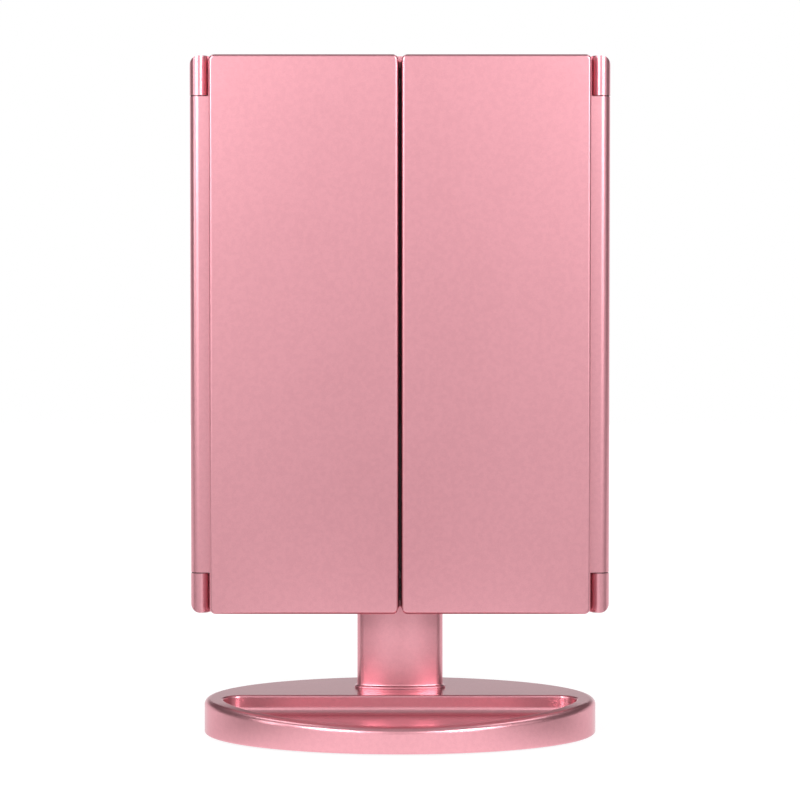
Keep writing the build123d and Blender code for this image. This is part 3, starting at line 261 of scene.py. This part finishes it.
# %% Glass finishes
silver = (0.92, 0.94, 0.94)
wipe_density = 14.0
wipe_stretch = (1.0, 1.0, 0.35)
clean_roughness = 0.004
wiped_roughness = 0.03
etched_white = (0.9, 0.92, 0.93)
etched_roughness = (0.35, 0.6)
etching_density = 2600.0
etching_depth = 0.00001
etching_gloss = 0.3


def silvered_glass():
    """Silver behind clear glass, with upright wiping marks."""
    material, tree, shader = new_finish("silvered_glass", silver, metallic=1.0, roughness=0.01)
    marks = grain(tree, wipe_density, detail=5.0, stretch=wipe_stretch)
    haze = spread(tree, marks, clean_roughness, wiped_roughness, start=0.45, stop=0.8)
    tree.links.new(haze, shader.inputs["Roughness"])
    return material


def frosted_glass():
    """Glass with its silver etched away."""
    material, tree, shader = new_finish("frosted_glass", etched_white, metallic=0.0, roughness=0.45)
    etching = grain(tree, etching_density, detail=3.0)
    tree.links.new(spread(tree, etching, *etched_roughness), shader.inputs["Roughness"])
    tree.links.new(relief(tree, etching, etching_depth), shader.inputs["Normal"])
    shader.inputs["Coat Weight"].default_value = etching_gloss
    return material


finishes["silvered_glass"] = silvered_glass()
finishes["frosted_glass"] = frosted_glass()

# %% [markdown]
# ## Plastics, rubber and foam
# Moulded plastics carry the spark-eroded texture of their mould: a grain half a millimetre wide
# and one or two hundredths of a millimetre deep. The rubber of the feet is rougher, and the
# foam of the pads is coarser still. Modelling so fine a grain would take millions of faces, so
# a bump does it, and one function makes all nine finishes from a few values.

# %% Plastic finishes
cloud_density = 60.0
cloud_shade = 0.9
mould_density = 1800.0
mould_depth = 0.000015
mould_swing = 0.08


def moulded(title, colour, roughness, texture=mould_density, depth=mould_depth):
    """A moulded plastic, rubber or foam with its mould's fine texture."""
    darker = tuple(cloud_shade * channel for channel in colour)
    material, tree, shader = new_finish(title, colour, 0.0, roughness)
    clouds = two_tone(tree, grain(tree, cloud_density, detail=3.0), darker, colour)
    tree.links.new(clouds, shader.inputs["Base Color"])
    fine = grain(tree, texture, detail=3.0)
    dullness = spread(tree, fine, roughness - mould_swing, roughness + mould_swing)
    tree.links.new(dullness, shader.inputs["Roughness"])
    tree.links.new(relief(tree, fine, depth), shader.inputs["Normal"])
    return material


plastics = {
    "diffuser_plastic": {"colour": (0.88, 0.88, 0.85), "roughness": 0.45},
    "white_plastic": {"colour": (0.78, 0.78, 0.76), "roughness": 0.5},
    "dark_plastic": {"colour": (0.52, 0.26, 0.3), "roughness": 0.55},
    # The nylon is near black with a rose tint: the black is its own colour, the rose tint is painted
    # shade of the dark seam between knuckle and barrel.
    "nylon": {"colour": (0.02, 0.004, 0.008), "roughness": 0.6},
    "foot_rubber": {"colour": (0.42, 0.39, 0.38), "roughness": 0.8, "texture": 1500.0, "depth": 0.00003},
    "foam_pad": {"colour": (0.05, 0.05, 0.05), "roughness": 0.9, "texture": 1200.0, "depth": 0.0001},
    "chip_plastic": {"colour": (0.03, 0.03, 0.03), "roughness": 0.5},
    "led_lens": {"colour": (0.85, 0.72, 0.3), "roughness": 0.25, "texture": 900.0},
    "wire_jacket": {"colour": (0.6, 0.06, 0.05), "roughness": 0.4},
}
for title, look in plastics.items():
    finishes[title] = moulded(title, **look)

# %% [markdown]
# ## Metals
# The screws, pins and brackets are zinc plated steel, the battery contacts nickel plated strip,
# the ballast rolled steel and the touch electrode copper foil. Under the same light they differ
# in tint and gloss only, so they share one function. Noise that is eight times finer in height
# than in width gives the level marks of drawing and rolling.

# %% Metal finishes
stain_density = 120.0
stain_shade = 0.82
mark_density = 900.0
mark_stretch = (1.0, 1.0, 8.0)
mark_depth = 0.000004
mark_swing = 0.1


def bright_metal(title, colour, roughness):
    """A plated or rolled metal with level drawing marks."""
    darker = tuple(stain_shade * channel for channel in colour)
    material, tree, shader = new_finish(title, colour, 1.0, roughness)
    stains = two_tone(tree, grain(tree, stain_density, detail=4.0), darker, colour)
    tree.links.new(stains, shader.inputs["Base Color"])
    marks = grain(tree, mark_density, detail=3.0, stretch=mark_stretch)
    dullness = spread(tree, marks, roughness - mark_swing, roughness + mark_swing)
    tree.links.new(dullness, shader.inputs["Roughness"])
    tree.links.new(relief(tree, marks, mark_depth), shader.inputs["Normal"])
    return material


metals = {
    "zinc_steel": {"colour": (0.72, 0.72, 0.7), "roughness": 0.32},
    "nickel_strip": {"colour": (0.78, 0.76, 0.7), "roughness": 0.24},
    "ballast_steel": {"colour": (0.4, 0.4, 0.41), "roughness": 0.45},
    "copper_foil": {"colour": (0.85, 0.5, 0.32), "roughness": 0.3},
}
for title, look in metals.items():
    finishes[title] = bright_metal(title, **look)

# %% [markdown]
# ## Circuit boards
# A light board has white solder mask, so that it throws light forward. Copper lies under the
# mask and shows as slightly raised, slightly darker lines, with small plated holes between
# them. The boards are hidden in the head, so drawn tracks would be wasted: the joints of a brick
# pattern are the lines, and the middles of random cells are the holes.

# %% Board finish
mask_white = (0.84, 0.86, 0.84)
mask_shade = (0.82, 0.84, 0.82)
covered_copper = (0.70, 0.73, 0.70)
plated_hole = (0.62, 0.5, 0.3)
track_density = 160.0
track_width = 0.035
track_height = 0.00003
hole_density = 240.0
hole_radius = 0.11


def circuit_board():
    """White solder mask over copper lines, with plated holes."""
    material, tree, shader = new_finish("circuit_board", mask_white, metallic=0.0, roughness=0.32)
    upright = tree.nodes.new("ShaderNodeMapping")
    upright.inputs["Rotation"].default_value = (math.radians(90), 0.0, 0.0)
    tree.links.new(own_point(tree), upright.inputs["Vector"])
    tracks = tree.nodes.new("ShaderNodeTexBrick")
    tracks.inputs["Scale"].default_value = track_density
    tracks.inputs["Mortar Size"].default_value = track_width
    for name, colour in (("Color1", mask_white), ("Color2", mask_shade), ("Mortar", covered_copper)):
        feed(tree, tracks.inputs[name], colour)
    tree.links.new(upright.outputs["Vector"], tracks.inputs["Vector"])
    holes = tree.nodes.new("ShaderNodeTexVoronoi")
    holes.inputs["Scale"].default_value = hole_density
    tree.links.new(own_point(tree), holes.inputs["Vector"])
    hole = maths(tree, "LESS_THAN", holes.outputs["Distance"], hole_radius)
    surface = pick_colour(tree, hole, tracks.outputs["Color"], plated_hole)
    tree.links.new(surface, shader.inputs["Base Color"])
    tree.links.new(hole, shader.inputs["Metallic"])
    tree.links.new(relief(tree, tracks.outputs["Fac"], track_height), shader.inputs["Normal"])
    return material


finishes["circuit_board"] = circuit_board()

# %% [markdown]
# ## Battery cells
# The cells wear a printed film: a plain body, a paler band at the button end and bare steel at
# the two ends. A printed label would need an unwrapped picture, and colours chosen by place do
# without one. The cells lie in turn left and right, so the band changes sides from row to row,
# which a little arithmetic on the height finds out.

# %% Cell finish
film_green = (0.17, 0.27, 0.24)
band_cream = (0.78, 0.78, 0.72)
can_steel = (0.72, 0.71, 0.68)
film_roughness = (0.24, 0.32)
film_density = 700.0
cell_pitch = 0.0112
cells_middle = 0.1427
band_start = 0.0125
film_end = 0.0212
lowest_edge = cells_middle - 2 * cell_pitch


def cell_jacket():
    """Printed film with a band at the button end and bare steel ends."""
    material, tree, shader = new_finish("cell_jacket", film_green, metallic=0.0, roughness=0.28)
    across, _, up = axes_of(tree, own_point(tree))
    height = maths(tree, "SUBTRACT", up, lowest_edge)
    row = maths(tree, "FLOOR", maths(tree, "DIVIDE", height, cell_pitch))
    odd_row = maths(tree, "MODULO", row, 2.0)
    side = maths(tree, "SUBTRACT", maths(tree, "MULTIPLY", odd_row, 2.0), 1.0)
    band = maths(tree, "GREATER_THAN", maths(tree, "MULTIPLY", across, side), band_start)
    steel = maths(tree, "GREATER_THAN", maths(tree, "ABSOLUTE", across), film_end)
    film = pick_colour(tree, band, film_green, band_cream)
    tree.links.new(pick_colour(tree, steel, film, can_steel), shader.inputs["Base Color"])
    tree.links.new(steel, shader.inputs["Metallic"])
    dullness = spread(tree, grain(tree, film_density), *film_roughness)
    tree.links.new(dullness, shader.inputs["Roughness"])
    return material


finishes["cell_jacket"] = cell_jacket()
print("cells: rows of", cell_pitch, "m from a height of", round(lowest_edge, 4))

# %% [markdown]
# ## Put the finishes on
# Each piece of the mirror is made of one material, and the record names it in a slot. Pieces of
# the same stuff share one finish, so a change to the rose paint reaches every shell at once. The
# loop looks up the slot of each piece and puts the finish of that name on it.

# %% Put the finishes on the CAD pieces
slot_of = {part["node"]: part["material_slot"] for part in frame["record"]["subparts"]}
for node, piece in frame["nodes"].items():
    for material_slot in piece.material_slots:
        material_slot.material = finishes[slot_of[node]]
print("finishes:", len(finishes), "on", len(frame["nodes"]), "pieces")

# %% [markdown]
# ## Studio
# The mirror stands on a white sweep that the camera sees as plain white. What the paint and the
# glass reflect is another matter: a packshot room is bright low down, where the white table and
# its walls are, and dark above and at the sides, which is what gives the rims and the corners
# of the lacquer their darker lines. A grey ceiling keeps the tray from going black when it is
# looked into from above. Walls and flags could be modelled for this, but a tone for each
# direction does the same, and every edge between two tones can be as soft as it has to be.

# %% Helpers for the room
def blend_along(tree, socket, edges):
    """0 to 1, eased, as a value goes from the first edge to the second."""
    remap = tree.nodes.new("ShaderNodeMapRange")
    remap.interpolation_type = "SMOOTHSTEP"
    remap.inputs["From Min"].default_value = edges[0]
    remap.inputs["From Max"].default_value = edges[1]
    tree.links.new(socket, remap.inputs["Value"])
    return remap.outputs["Result"]


# %% [markdown]
# ## Start the room
# The room is a world that asks for each ray which way it flies. The way is a direction of
# length one: X is how far it goes aside, minus Y how far towards the camera and Z how far up,
# so a Z of 0.5 is thirty degrees above level.

# %% Start the room
world = bpy.data.worlds.new("studio_room")
bpy.context.scene.world = world
world.use_nodes = True
room = world.node_tree
room_way = room.nodes.new("ShaderNodeTexCoord")
room_x, room_y, room_z = axes_of(room, room_way.outputs["Generated"])
room_aside = maths(room, "ABSOLUTE", room_x)
room_ahead = maths(room, "MULTIPLY", room_y, -1.0)
print("world:", world.name)

# %% [markdown]
# ## The front of the room
# The lacquer of the closed wings reflects the front of the room, so the front is white.
# Straight ahead, where the camera stands, it has a narrow dark lane. The middle mirror looks at
# that lane through the slit between the closed wings, so the slit is dark, as it is on the real
# mirror. One dark panel could do the same, but it would have hard edges. Each tone here is a
# level of white, and each pair of edges says where one tone eases into the next.

# %% The front of the room
room_edge = 1.05
room_axis = 0.9
room_lane = 0.02
axis_edges = (0.05, 0.28)
lane_edges = (0.012, 0.06)

off_axis = pick(room, blend_along(room, room_aside, axis_edges), room_axis, room_edge)
front_tone = pick(room, blend_along(room, room_aside, lane_edges), room_lane, off_axis)
print("front of the room: edge", room_edge, "axis", room_axis, "lane", room_lane)

# %% [markdown]
# ## The sides, the back and the ceiling
# The sides and all above the walls are dark, and they draw the dark lines on the rims. The
# back is white, like the sweep, and the ceiling grey. In an evenly white room the lacquer would
# look flat, because a coat shows its shape only where a bright tone ends.

# %% The sides, the back and the ceiling
room_side = 0.12
room_behind = 0.98
room_above = 0.06
room_ceiling = 0.32
front_edges = (0.5, 0.85)
behind_edges = (0.3, 0.7)
above_edges = (0.12, 0.35)
ceiling_edges = (0.55, 0.85)

side_tone = pick(room, blend_along(room, room_ahead, front_edges), room_side, front_tone)
low_tone = pick(room, blend_along(room, room_y, behind_edges), side_tone, room_behind)
high_tone = pick(room, blend_along(room, room_z, ceiling_edges), room_above, room_ceiling)
in_gloss = pick(room, blend_along(room, room_z, above_edges), low_tone, high_tone)
print("room: side", room_side, "behind", room_behind, "above", room_above)

# %% [markdown]
# ## What each kind of ray sees
# Light Path tells the kinds of ray apart. Only glossy rays see the tones of the room. The
# camera sees plain white, and all other rays see one plain level, so that the lamps and not the
# background shape the light on the mirror. A white wall behind the mirror would do for the
# camera, but it would light the mirror and show in its reflections too.

# %% What each kind of ray sees
room_light = 0.35
room_white = 1.0

room_rays = room.nodes.new("ShaderNodeLightPath")
for_gloss = pick(room, room_rays.outputs["Is Glossy Ray"], room_light, in_gloss)
for_glass = pick(room, room_rays.outputs["Is Transmission Ray"], for_gloss, room_white)
for_camera = pick(room, room_rays.outputs["Is Camera Ray"], for_glass, room_white)
background = room.nodes["Background"]
background.inputs["Strength"].default_value = 1.0
room.links.new(for_camera, background.inputs["Color"])
print("room: light", room_light, "white", room_white)

# %% [markdown]
# ## Floor
# A sheet of white card, much wider than the picture. A real sweep curves up behind the mirror;
# here the card is flat and the white room takes its place beyond the edge.

# %% The sheet
floor_size = 6.0
floor_half = floor_size / 2
floor_corners = [
    (-floor_half, -floor_half, 0),
    (floor_half, -floor_half, 0),
    (floor_half, floor_half, 0),
    (-floor_half, floor_half, 0),
]
floor_mesh = bpy.data.meshes.new("studio_floor")
floor_mesh.from_pydata(floor_corners, [], [(0, 1, 2, 3)])
floor = bpy.data.objects.new("studio_floor", floor_mesh)
bpy.context.scene.collection.objects.link(floor)
print("floor:", floor_size, "m square")

# %% [markdown]
# ## Places on the card
# The card's look depends on the place: how far to the side, how far ahead of the mirror, and
# how far from its middle. All three are in metres and come from the card's own coordinates,
# whose origin is the middle of the base.

# %% Places on the card
card = bpy.data.materials.new("white_card")
card.use_nodes = True
card_tree = card.node_tree
card_point = own_point(card_tree)
card_x, card_y, _ = axes_of(card_tree, card_point)
aside = maths(card_tree, "ABSOLUTE", card_x)
ahead = maths(card_tree, "MULTIPLY", card_y, -1.0)
length = card_tree.nodes.new("ShaderNodeVectorMath")
length.operation = "LENGTH"
card_tree.links.new(card_point, length.inputs[0])
reach = length.outputs["Value"]
print("material:", card.name)

# %% [markdown]
# ## The card in reflections
# In reflections the card glows with painted light and shade in place of lit card: brightest
# just ahead of the base and behind it, painted shade a third as bright beside the base, where
# the head would shade it, and in between towards the camera. Lamps could light the card like
# this, but they would light the mirror too. A glow that only glossy rays see changes nothing but
# the reflections.

# %% The card in reflections
# Painted light and shade: these glow levels stand in for the lamps' pool of light on the card and the
# head's shadow on it.
card_behind = 1.0
card_painted_light_ahead = 1.22
card_painted_shade_beside = 0.34
card_away = 0.70
ahead_edges = (-0.03, 0.06)
beside_edges = (0.05, 0.15)
wide_edges = (0.18, 0.5)
far_edges = (0.25, 0.55)

in_front = blend_along(card_tree, ahead, ahead_edges)
near_front = pick(card_tree, blend_along(card_tree, aside, beside_edges), card_painted_light_ahead, card_painted_shade_beside)
near_card = pick(card_tree, in_front, card_behind, near_front)
far_front = pick(card_tree, blend_along(card_tree, aside, wide_edges), card_away, card_painted_shade_beside)
far_card = pick(card_tree, in_front, card_behind, far_front)
painted_card_light = pick(card_tree, blend_along(card_tree, reach, far_edges), near_card, far_card)
print("card: ahead", card_painted_light_ahead, "beside", card_painted_shade_beside, "away", card_away, "behind", card_behind)

# %% [markdown]
# ## Horizon and lane
# Far out the card meets the tone of the room, so that the open mirrors show no hard horizon.
# Ahead of the mirror the room's dark lane goes on along the card as a painted dark strip, with
# the same edges, now in metres: painted shade that the slit between the wings reflects; without
# it the slit would be bright at its foot.

# %% Horizon and lane
card_horizon = 0.95
# The lane is painted shade: a dark strip in the card's glow that darkens the reflection in the slit.
card_painted_shade_lane = 0.05
horizon_edges = (0.7, 2.4)
lane_start_edges = (0.27, 0.47)

open_card = pick(card_tree, blend_along(card_tree, reach, horizon_edges), painted_card_light, card_horizon)
lane_card = pick(card_tree, blend_along(card_tree, aside, lane_edges), card_painted_shade_lane, open_card)
gloss_glow = pick(card_tree, blend_along(card_tree, ahead, lane_start_edges), open_card, lane_card)
print("card: horizon", card_horizon, "lane", card_painted_shade_lane)

# %% [markdown]
# ## The card in view
# Close to the base the camera sees a share of the card's real shading, so that the mirror keeps
# its contact shadow. Further out the shading fades to pure white, and no horizon line is left.
# A mix of a matt surface and a glow does both, and the kind of ray decides how much of each.

# %% The card in view
card_white = 1.12
card_colour = (0.9, 0.9, 0.9)
card_roughness = 0.8
card_shine = 0.1
shade_edges = (0.16, 0.42)
shade_share = 0.2

card_rays = card_tree.nodes.new("ShaderNodeLightPath")
seen_by_camera = card_rays.outputs["Is Camera Ray"]
matt_card = card_tree.nodes["Principled BSDF"]
feed(card_tree, matt_card.inputs["Base Color"], card_colour)
feed(card_tree, matt_card.inputs["Roughness"], card_roughness)
feed(card_tree, matt_card.inputs["Specular IOR Level"], card_shine)
white_share = pick(card_tree, blend_along(card_tree, reach, shade_edges), 1.0 - shade_share, 1.0)
glow_share = pick(card_tree, seen_by_camera, card_rays.outputs["Is Glossy Ray"], white_share)
glow = card_tree.nodes.new("ShaderNodeEmission")
feed(card_tree, glow.inputs["Strength"], pick(card_tree, seen_by_camera, gloss_glow, card_white))
layer = card_tree.nodes.new("ShaderNodeMixShader")
feed(card_tree, layer.inputs["Fac"], glow_share)
card_tree.links.new(matt_card.outputs["BSDF"], layer.inputs[1])
card_tree.links.new(glow.outputs["Emission"], layer.inputs[2])
card_tree.links.new(layer.outputs["Shader"], card_tree.nodes["Material Output"].inputs["Surface"])
floor_mesh.materials.append(card)
print("card in view: shaded within", shade_edges[1], "m")

# %% [markdown]
# ## Soft boxes
# Two soft boxes, thirty degrees to each side and above the mirror's middle, light the wings
# with the slow fall of light from the top of the panels to the bottom. A weak pair close to the
# camera lifts the panels and the top edge of the head a little, and a pair high at the sides
# lights the lip of the tray. Two tall narrow boxes stand further round and draw a light line
# down the outer edge of each hinge barrel; the left one is about four times as strong as the
# right one. Bare lamps would leave hard points in the lacquer, and broad ones leave a glow.

# %% Lamps
look_at = Vector((0.0, 0.0, 0.16))
lamp_distance = 1.5
lamp_size = (0.5, 0.5)
strip_size = (0.3, 0.8)


def soft_box(title, azimuth, rise, power, size=lamp_size):
    """An area lamp that looks at the mirror from an azimuth and a height in degrees."""
    turn = math.radians(azimuth)
    up = math.radians(rise)
    way_out = Vector((math.sin(turn) * math.cos(up), -math.cos(turn) * math.cos(up), math.sin(up)))
    lamp = bpy.data.lights.new(title, "AREA")
    lamp.shape = "RECTANGLE"
    lamp.size, lamp.size_y = size
    lamp.energy = power
    holder = bpy.data.objects.new(title, lamp)
    holder.location = look_at + lamp_distance * way_out
    holder.rotation_euler = (-way_out).to_track_quat("-Z", "Y").to_euler()
    bpy.context.scene.collection.objects.link(holder)
    print(title, "at", azimuth, "degrees,", rise, "up:", power, "W")


soft_box("left_key", azimuth=-30, rise=21, power=10.3)
soft_box("right_key", azimuth=30, rise=21, power=10.2)
soft_box("left_fill", azimuth=-12, rise=20, power=0.5)
soft_box("right_fill", azimuth=12, rise=20, power=0.5)
soft_box("left_hair", azimuth=-95, rise=60, power=2.2)
soft_box("right_hair", azimuth=95, rise=60, power=2.2)
soft_box("left_strip", azimuth=-62, rise=16, power=2.6, size=strip_size)
soft_box("right_strip", azimuth=62, rise=16, power=0.6, size=strip_size)

# %% [markdown]
# ## The view
# Standard shows each level as it is, so the white sweep comes out white. A film-like view would
# be kinder to bright lamps, but it would grey the sweep and dull the rose.

# %% View settings
bpy.context.scene.view_settings.view_transform = "Standard"
print("view transform:", bpy.context.scene.view_settings.view_transform)
